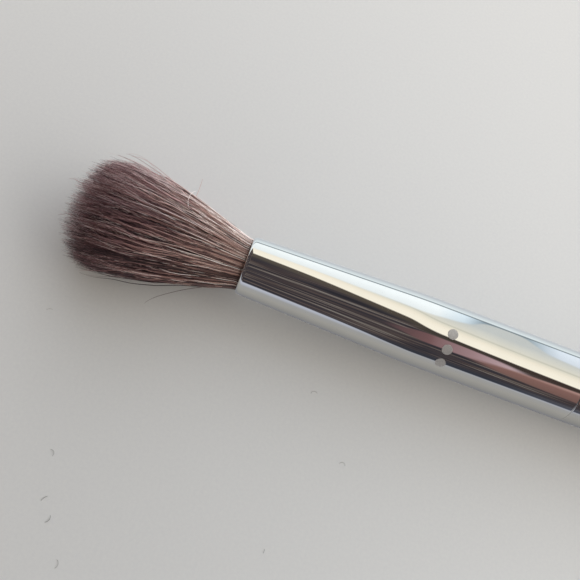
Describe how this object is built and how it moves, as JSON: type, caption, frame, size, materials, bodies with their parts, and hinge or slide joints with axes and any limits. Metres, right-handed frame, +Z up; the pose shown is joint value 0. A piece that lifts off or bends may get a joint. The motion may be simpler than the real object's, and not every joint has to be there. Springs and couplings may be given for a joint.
{
  "type": "fine detail brush",
  "caption": "Round hobby brush with a soft flared hair tuft, a tapered plated ferrule with a rolled lip, and a slim polished tube handle.",
  "frame": {"origin": "on the surface the brush lies on, below the middle of its length and width", "axes": "+X along the brush axis from tuft to handle, +Z up from the surface"},
  "size_m": [0.1668, 0.0116, 0.0098],
  "materials": {
    "ferrule": "polished nickel-chrome plate on drawn brass",
    "size_mark": "matte pad-printed ink",
    "hair_root": "dyed goat hair",
    "hair_belly": "dyed goat hair",
    "hair_tip": "dyed goat hair",
    "binding_thread": "waxed polyester thread",
    "root_glue": "cast epoxy",
    "handle_core": "turned birch",
    "tenon_glue": "cast epoxy",
    "handle_tube": "polished and plated tube",
    "tail_cap": "polished and plated, turned"
  },
  "bodies": {
    "body": {"ferrule": "ferrule", "size_mark": "size_mark", "hair_root": "hair_root", "binding_thread": "binding_thread", "root_glue": "root_glue", "handle_core": "handle_core", "tenon_glue": "tenon_glue", "handle_tube": "handle_tube", "tail_cap": "tail_cap"},
    "tuft_belly": {"hair_belly": "hair_belly"},
    "tuft_tip": {"hair_tip": "hair_tip"}
  },
  "joints": [
    {"name": "side_flex", "type": "hinge", "parent": "body", "child": "tuft_belly", "pos_m": [-0.06915, 0, 0.0039], "axis": [0, 0, 1], "range_deg": [-25, 25], "stiffness_Nm_per_rad": 0.006},
    {"name": "tip_flex", "type": "hinge", "parent": "tuft_belly", "child": "tuft_tip", "pos_m": [-0.07615, 0, 0.0039], "axis": [0, 1, 0], "range_deg": [-20, 20], "stiffness_Nm_per_rad": 0.003}
  ]
}
